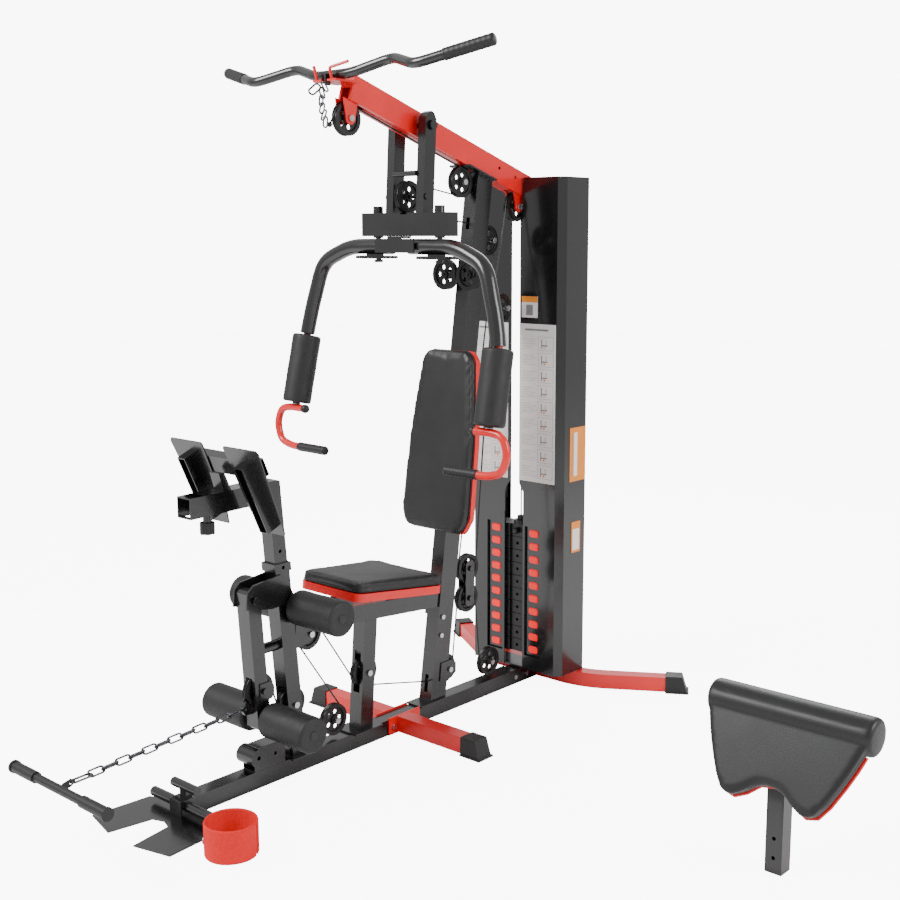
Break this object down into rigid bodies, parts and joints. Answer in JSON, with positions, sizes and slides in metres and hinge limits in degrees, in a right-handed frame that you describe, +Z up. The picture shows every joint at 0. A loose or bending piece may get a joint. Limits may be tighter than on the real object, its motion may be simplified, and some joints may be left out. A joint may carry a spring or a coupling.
{
  "type": "multi station home gym",
  "caption": "Multi station strength gym: shrouded weight stack, press and fly arms, leg developer, padded seat and back, lat bar, row bar, ankle cuff and a separate curl pad.",
  "frame": {"origin": "on the floor under the base rail, below the foot of the main upright", "axes": "+Z up, +Y back towards the weight stack, +X sideways towards the side the curl pad stands on"},
  "size_m": [2.0971, 2.0871, 2.0238],
  "materials": {
    "black_paint": "satin black powder coat",
    "red_paint": "satin red powder coat",
    "silver": "bright plated steel",
    "chain_steel": "dark plated steel",
    "chrome_rod": "polished chrome",
    "pulley_plastic": "moulded black nylon",
    "cap_plastic": "moulded black plastic",
    "cable_coat": "coated steel cable",
    "roller_foam": "dense foam sleeve",
    "cushion_vinyl": "matt upholstery vinyl",
    "board_red": "red moulded board",
    "plate_coat": "black moulded plate",
    "placard": "printed sheet, blank panels",
    "cuff_fabric": "thick red webbing"
  },
  "bodies": {
    "frame": {"front_rail": "black_paint", "rear_rail": "black_paint", "foot_rest": "black_paint", "front_stabilizer": "red_paint", "rear_stabilizer": "red_paint", "end_caps": "cap_plastic", "main_upright": "black_paint", "seat_frame": "black_paint", "developer_post": "black_paint", "top_boom": "red_paint", "stack_frame": "black_paint", "guide_rods": "chrome_rod", "shroud_left": "black_paint", "shroud_right": "black_paint", "label_panels": "placard", "seat_cushion": "cushion_vinyl", "seat_board": "board_red", "back_cushion": "cushion_vinyl", "back_board": "board_red", "frame_bolts": "silver", "lever_bumper": "black_paint", "weight_plates": "plate_coat", "lat_cable": "cable_coat", "low_cable": "cable_coat", "pulleys_fly": "pulley_plastic", "idler_pulleys": "pulley_plastic"},
    "press": {"press_frame": "black_paint"},
    "left_arm": {"arm_left": "black_paint", "arm_pad_left": "roller_foam", "handle_left": "red_paint"},
    "right_arm": {"arm_right": "black_paint", "arm_pad_right": "roller_foam", "handle_right": "red_paint"},
    "lever": {"leg_lever": "black_paint"},
    "low_roller": {"lower_rollers": "roller_foam"},
    "high_roller": {"upper_rollers": "roller_foam"},
    "lifted_stack": {"top_plate": "plate_coat"},
    "lock_pin": {"selector_pin": "cap_plastic"},
    "float": {"float_block": "black_paint", "float_pulleys": "pulley_plastic"},
    "lat": {"lat_bar": "black_paint", "lat_chain": "chain_steel"},
    "row": {"row_bar": "black_paint", "row_chain": "chain_steel"},
    "curl_bracket": {"tablet_rest": "black_paint"},
    "bracket_knob": {"rest_knob": "cap_plastic"},
    "curl_pad": {"curl_cushion": "cushion_vinyl", "curl_board": "board_red", "curl_post": "black_paint"},
    "cuff": {"ankle_strap": "cuff_fabric"},
    "pulley_boom_front_body": {"pulley_boom_front": "pulley_plastic"},
    "pulley_boom_rear_body": {"pulley_boom_rear": "pulley_plastic"},
    "pulley_upright_top_body": {"pulley_upright_top": "pulley_plastic"},
    "pulley_press_body": {"pulley_press": "pulley_plastic"},
    "pulley_rear_rail_body": {"pulley_rear_rail": "pulley_plastic"},
    "pulley_upright_foot_body": {"pulley_upright_foot": "pulley_plastic"},
    "pulley_seat_post_body": {"pulley_seat_post": "pulley_plastic"},
    "pulley_front_base_body": {"pulley_front_base": "pulley_plastic"},
    "pulley_developer_body": {"pulley_developer": "pulley_plastic"},
    "pulley_lever_body": {"pulley_lever": "pulley_plastic"}
  },
  "joints": [
    {"name": "press_swing", "type": "hinge", "parent": "frame", "child": "press", "pos_m": [0, -0.138, 1.838], "axis": [-1, 0, 0], "range_deg": [0, 45], "deforming": ["lat_cable"]},
    {"name": "fly_left", "type": "hinge", "parent": "press", "child": "left_arm", "pos_m": [-0.127, -0.16, 1.488], "axis": [0, 0, 1], "range_deg": [0, 70]},
    {"name": "fly_right", "type": "hinge", "parent": "press", "child": "right_arm", "pos_m": [0.127, -0.16, 1.488], "axis": [0, 0, -1], "range_deg": [0, 70]},
    {"name": "lever_swing", "type": "hinge", "parent": "frame", "child": "lever", "pos_m": [0, -0.802, 0.542], "axis": [-1, 0, 0], "range_deg": [0, 60], "deforming": ["low_cable"]},
    {"name": "low_roller_spin", "type": "hinge", "parent": "lever", "child": "low_roller", "pos_m": [0, -0.762, 0.192], "axis": [1, 0, 0], "continuous": true},
    {"name": "high_roller_spin", "type": "hinge", "parent": "frame", "child": "high_roller", "pos_m": [0, -0.652, 0.492], "axis": [1, 0, 0], "continuous": true},
    {"name": "stack_lift", "type": "slide", "parent": "frame", "child": "lifted_stack", "axis": [0, 0, 1], "range_m": [0, 0.32]},
    {"name": "pin_pull", "type": "slide", "parent": "lifted_stack", "child": "lock_pin", "axis": [0, -1, 0], "range_m": [0, 0.12]},
    {"name": "float_drop", "type": "slide", "parent": "frame", "child": "float", "axis": [0, 0, -1], "range_m": [0, 0.15]},
    {"name": "lat_bar_lift", "type": "slide", "parent": "frame", "child": "lat", "axis": [0, 0, 1], "range_m": [0, 0.06]},
    {"name": "row_pull", "type": "slide", "parent": "lever", "child": "row", "axis": [0, -1, 0], "range_m": [0, 0.45]},
    {"name": "bracket_lift", "type": "slide", "parent": "frame", "child": "curl_bracket", "axis": [0, -0.0854, 0.9963], "range_m": [0, 0.06]},
    {"name": "knob_turn", "type": "hinge", "parent": "curl_bracket", "child": "bracket_knob", "pos_m": [0, -0.928, 0.77], "axis": [0, 0, 1], "continuous": true},
    {"name": "curl_pad_lift", "type": "slide", "parent": "frame", "child": "curl_pad", "axis": [0, 0, 1], "range_m": [0, 0.3]},
    {"name": "cuff_lift", "type": "slide", "parent": "frame", "child": "cuff", "axis": [0, 0, 1], "range_m": [0, 0.15]},
    {"name": "pulley_boom_front_spin", "type": "hinge", "parent": "frame", "child": "pulley_boom_front_body", "pos_m": [0, -0.405, 1.842], "axis": [1, 0, 0], "continuous": true},
    {"name": "pulley_boom_rear_spin", "type": "hinge", "parent": "frame", "child": "pulley_boom_rear_body", "pos_m": [0, 0.337, 1.613], "axis": [1, 0, 0], "continuous": true},
    {"name": "pulley_upright_top_spin", "type": "hinge", "parent": "frame", "child": "pulley_upright_top_body", "pos_m": [0, 0.072, 1.683], "axis": [1, 0, 0], "continuous": true},
    {"name": "pulley_press_spin", "type": "hinge", "parent": "press", "child": "pulley_press_body", "pos_m": [0, -0.163, 1.633], "axis": [1, 0, 0], "continuous": true},
    {"name": "pulley_rear_rail_spin", "type": "hinge", "parent": "frame", "child": "pulley_rear_rail_body", "pos_m": [0, 0.206, 0.108], "axis": [1, 0, 0], "continuous": true},
    {"name": "pulley_upright_foot_spin", "type": "hinge", "parent": "frame", "child": "pulley_upright_foot_body", "pos_m": [0, -0.016, 0.142], "axis": [1, 0, 0], "continuous": true},
    {"name": "pulley_seat_post_spin", "type": "hinge", "parent": "frame", "child": "pulley_seat_post_body", "pos_m": [0, -0.372, 0.223], "axis": [1, 0, 0], "continuous": true},
    {"name": "pulley_front_base_spin", "type": "hinge", "parent": "frame", "child": "pulley_front_base_body", "pos_m": [0, -0.498, 0.108], "axis": [1, 0, 0], "continuous": true},
    {"name": "pulley_developer_spin", "type": "hinge", "parent": "frame", "child": "pulley_developer_body", "pos_m": [0, -0.592, 0.395], "axis": [1, 0, 0], "continuous": true},
    {"name": "pulley_lever_spin", "type": "hinge", "parent": "lever", "child": "pulley_lever_body", "pos_m": [0, -0.776, 0.277], "axis": [1, 0, 0], "continuous": true}
  ],
  "couplings": [
    {"joint": "stack_lift", "follows": "press_swing", "m_per_rad": 0.36},
    {"joint": "float_drop", "follows": "lever_swing", "m_per_rad": 0.133}
  ]
}
